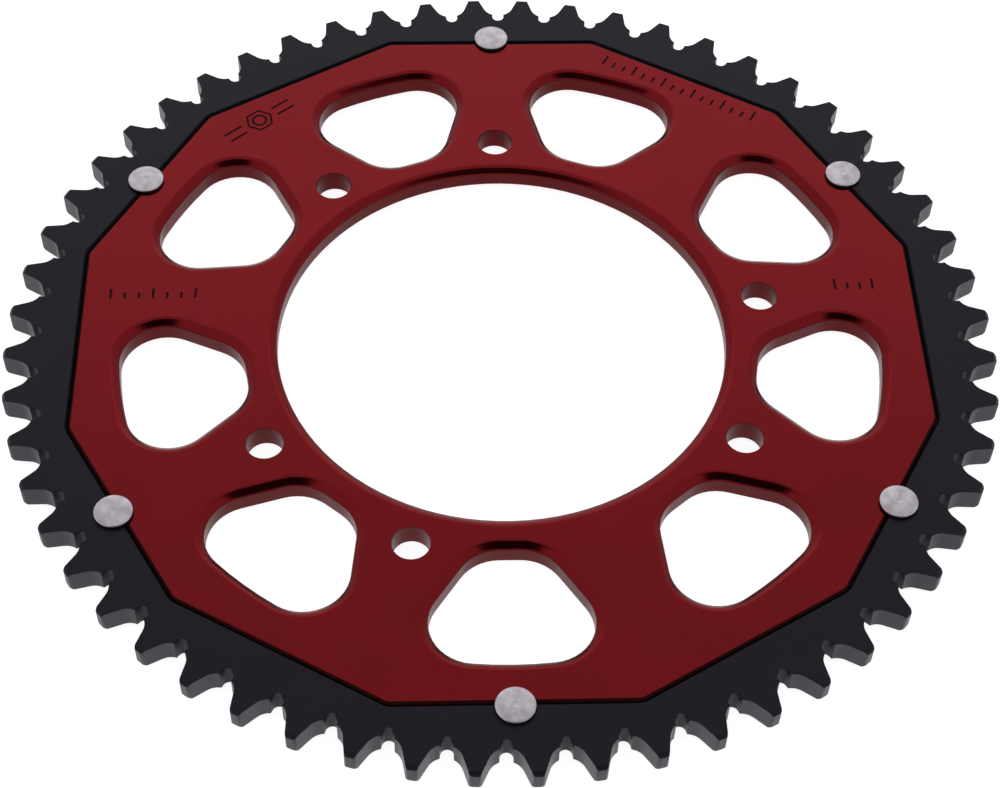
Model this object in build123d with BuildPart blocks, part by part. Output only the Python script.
from build123d import *
import os
from math import asin, degrees, pi, radians, sin, sqrt, tan

# Rear sprocket of a motorcycle, riveted up from two plates: a steel toothed ring around an aluminium carrier.
# The ring and the carrier meet edge to edge on a twelve-sided joint line, which carries the torque.
# Six rivets straddle that line, partly in the ring and partly in the carrier, and hold the plates flush.
#
# Millimetres and degrees. The origin is the centre of the bore, halfway through the thickness, on the chain line.
# +Z is the axle, and directions in the plate are angles from +X.

# ---- Driving dimensions -------------------------------------------------------------------------------------

# Chain and teeth
chain_pitch = 12.7
roller_d = 7.75
teeth = 56
tooth_angle = 150.0            # direction of one tooth, which stands over a rivet
seat_clearance = 0.075         # seat radius over the roller's
flank_angle = 24.0             # straight flank, from the middle line of its gap
tip_height = 2.45              # tips above the pitch circle
tip_corner_r = 0.8
tip_bevel = 0.75
relief_w = 2.9                 # mud slot at the root of each gap
relief_depth = 2.0             # slot below the roller seat

# Plates
thickness = 5.8

# Joint between the ring and the carrier
joint_sides = 12
ring_depth = 14.5              # pitch circle to a flat of the joint line
joint_clearance = 0.05         # each side of the joint line
joint_corner_r = 4.0
joint_chamfer = 0.6

# Rivets
rivets = 6
rivet_angle = 30.0             # direction of the first rivet
rivet_offset = 1.0             # rivet's centre outside the joint line
rivet_d = 6.0
rivet_clearance = 0.05         # shank to hole, on the radius
rivet_head_d = 8.8
rivet_head_rim = 0.7           # straight side of the head
rivet_head_dome = 0.45         # crown above that side

# Bore and bolt holes
bore_d = 105.0
bolt_offset = 10.0             # bore wall to the bolt circle
bolt_hole_d = 8.5

# Windows
windows = 9
window_angle = 30.0            # direction of the first window
window_rim = 9.85              # joint line to a window's outer edge
window_band = 7.6              # bore wall to a window's flat inner edge
window_w = 35.7
window_flat_w = 4.5            # straight stretch of the inner edge
window_corner_r = 10.1

# Rims: broad chamfers on both faces of the bore and the front face of the windows, and a small one behind them
rim_chamfer_w = 1.7
bore_chamfer_depth = 1.0
window_chamfer_depth = 1.2
window_back_chamfer = 0.45

os.makedirs("parts", exist_ok=True)

# ---- Worked out from them -----------------------------------------------------------------------------------

half_t = thickness / 2
pitch_r = chain_pitch / 2 / sin(pi / teeth)
tip_r = pitch_r + tip_height
joint_flat_r = pitch_r - ring_depth
joint_corner_angle = 180 / joint_sides
bore_r = bore_d / 2
window_outer_r = joint_flat_r - window_rim
window_inner_flat = bore_r + window_band
rivet_places = PolarLocations(joint_flat_r + rivet_offset, rivets, rivet_angle)
rivet_hole_r = rivet_d / 2 + rivet_clearance


def plate_face(plate, end):
    """The flat face of a plate: end 0 is the lower one, and end -1 the upper."""
    return plate.faces().filter_by(Axis.Z).sort_by(Axis.Z)[end]


# ---- Gap between two teeth ----------------------------------------------------------------------------------
# Drawn along +X: a round-ended mud slot, the roller seat, and a straight flank to beyond the tips.

seat_r = roller_d / 2 + seat_clearance
slot_r = relief_w / 2
slot_end = pitch_r - seat_r - relief_depth
shoulder_angle = 180 - degrees(asin(slot_r / seat_r))
seat_end_angle = 90 + flank_angle
past_tips = tip_r + chain_pitch

with BuildSketch() as gap:
    with BuildLine():
        slot_round = TangentArc((slot_end, 0), (slot_end + slot_r, slot_r), tangent=(0, 1))
        seat = CenterArc((pitch_r, 0), seat_r, shoulder_angle, seat_end_angle - shoulder_angle)
        Line(slot_round @ 1, seat @ 0)
        mouth_half_w = (seat @ 1).Y + (past_tips - (seat @ 1).X) * tan(radians(flank_angle))
        Polyline(seat @ 1, (past_tips, mouth_half_w), (past_tips, 0))
        mirror(about=Plane.XZ)
    make_face()

# ---- Toothed ring -------------------------------------------------------------------------------------------

gap_angle = tooth_angle + 180 / teeth
touching = 0.01

with BuildPart() as toothed_ring:
    with BuildSketch(Plane.XY.rotated((0, 0, gap_angle))):
        Circle(tip_r)
        with PolarLocations(0, teeth):
            add(gap.sketch, mode=Mode.SUBTRACT)
        tip_corners = vertices().filter_by(lambda v: abs(Vector(v.X, v.Y).length - tip_r) < touching)
        fillet(tip_corners, tip_corner_r)
    extrude(amount=half_t, both=True)

    # Bevel turned on the tooth tips, both faces
    with BuildSketch(Plane.XZ):
        Rectangle(tip_r, thickness, align=(Align.MIN, Align.CENTER))
        chamfer(vertices().group_by(Axis.X)[-1], tip_bevel)
    revolve(axis=Axis.Z, mode=Mode.INTERSECT)

    # Twelve-sided opening for the carrier
    with BuildSketch():
        opening_r = joint_flat_r + joint_clearance
        RegularPolygon(opening_r, joint_sides, major_radius=False, rotation=joint_corner_angle)
        fillet(vertices(), joint_corner_r)
    extrude(amount=half_t, both=True, mode=Mode.SUBTRACT)
    for end in (0, -1):
        chamfer(plate_face(toothed_ring, end).inner_wires()[0].edges(), joint_chamfer)

    with rivet_places:
        Hole(rivet_hole_r)
toothed_ring.part.label = "toothed_ring"
export_step(toothed_ring.part, "parts/toothed_ring.step")

# ---- Window of the carrier ----------------------------------------------------------------------------------
# Drawn along +X: an outer edge concentric with the bore, a flat inner edge, and four equal round corners.

outer_corner_y = window_w / 2 - window_corner_r
outer_corner_x = sqrt((window_outer_r - window_corner_r) ** 2 - outer_corner_y**2)
outer_corner = Vector(outer_corner_x, outer_corner_y)
inner_corner = Vector(window_inner_flat + window_corner_r, window_flat_w / 2)
side_normal = (outer_corner - inner_corner).normalized().rotate(Axis.Z, 90)

with BuildSketch() as window:
    with BuildLine():
        outer_end = outer_corner + outer_corner.normalized() * window_corner_r
        outer_edge = TangentArc((window_outer_r, 0), outer_end, tangent=(0, 1))
        side_start = outer_corner + side_normal * window_corner_r
        outer_round = TangentArc(outer_edge @ 1, side_start, tangent=outer_edge % 1)
        side = Line(outer_round @ 1, inner_corner + side_normal * window_corner_r)
        flat_end = (window_inner_flat, window_flat_w / 2)
        inner_round = TangentArc(side @ 1, flat_end, tangent=side % 1)
        Line(inner_round @ 1, (window_inner_flat, 0))
        mirror(about=Plane.XZ)
    make_face()

# ---- Carrier ------------------------------------------------------------------------------------------------
# The bolt holes stand on the spokes between the windows, and every third spoke has none.

first_spoke_angle = window_angle - 180 / windows
spoke_places = PolarLocations(bore_r + bolt_offset, windows, first_spoke_angle)
bolt_places = [place for i, place in enumerate(spoke_places) if i % 3 != 1]

with BuildPart() as carrier:
    with BuildSketch():
        carrier_rim_r = joint_flat_r - joint_clearance
        RegularPolygon(carrier_rim_r, joint_sides, major_radius=False, rotation=joint_corner_angle)
        fillet(vertices(), joint_corner_r)
        Circle(bore_r, mode=Mode.SUBTRACT)
        with PolarLocations(0, windows, window_angle):
            add(window.sketch, mode=Mode.SUBTRACT)
    extrude(amount=half_t, both=True)

    back_rims = (0, window_back_chamfer, window_back_chamfer)
    front_rims = (-1, rim_chamfer_w, window_chamfer_depth)
    for end, window_chamfer_w, depth in (back_rims, front_rims):
        face = plate_face(carrier, end)
        bore_rim = face.inner_wires().sort_by(SortBy.LENGTH)[-1]
        chamfer(bore_rim.edges(), rim_chamfer_w, bore_chamfer_depth, reference=face)

        face = plate_face(carrier, end)
        window_rims = [wire.edges() for wire in face.inner_wires().sort_by(SortBy.LENGTH)[:-1]]
        chamfer(window_rims, window_chamfer_w, depth, reference=face)

        chamfer(plate_face(carrier, end).outer_wire().edges(), joint_chamfer)

    with Locations(bolt_places):
        Hole(bolt_hole_d / 2)
    with rivet_places:
        Hole(rivet_hole_r)
carrier.part.label = "carrier"
export_step(carrier.part, "parts/carrier.step")

# ---- Rivets -------------------------------------------------------------------------------------------------
# Solid rivets with the same low crowned head on both faces.

rivet_r = rivet_d / 2
head_r = rivet_head_d / 2
rim_top = half_t + rivet_head_rim
crown_top = rim_top + rivet_head_dome

for number, place in enumerate(rivet_places, start=1):
    with BuildPart() as rivet:
        with BuildSketch(Plane(origin=place.position, x_dir=(1, 0, 0), z_dir=(0, -1, 0))):
            with BuildLine():
                crown = TangentArc((0, crown_top), (head_r, rim_top), tangent=(1, 0))
                Polyline(crown @ 1, (head_r, half_t), (rivet_r, half_t), (rivet_r, 0))
                mirror(about=Plane.XZ)
                Line((0, crown_top), (0, -crown_top))
            make_face()
        revolve(axis=Axis(place.position, (0, 0, 1)))
    rivet.part.label = f"rivet_{number}"
    export_step(rivet.part, f"parts/rivet_{number}.step")
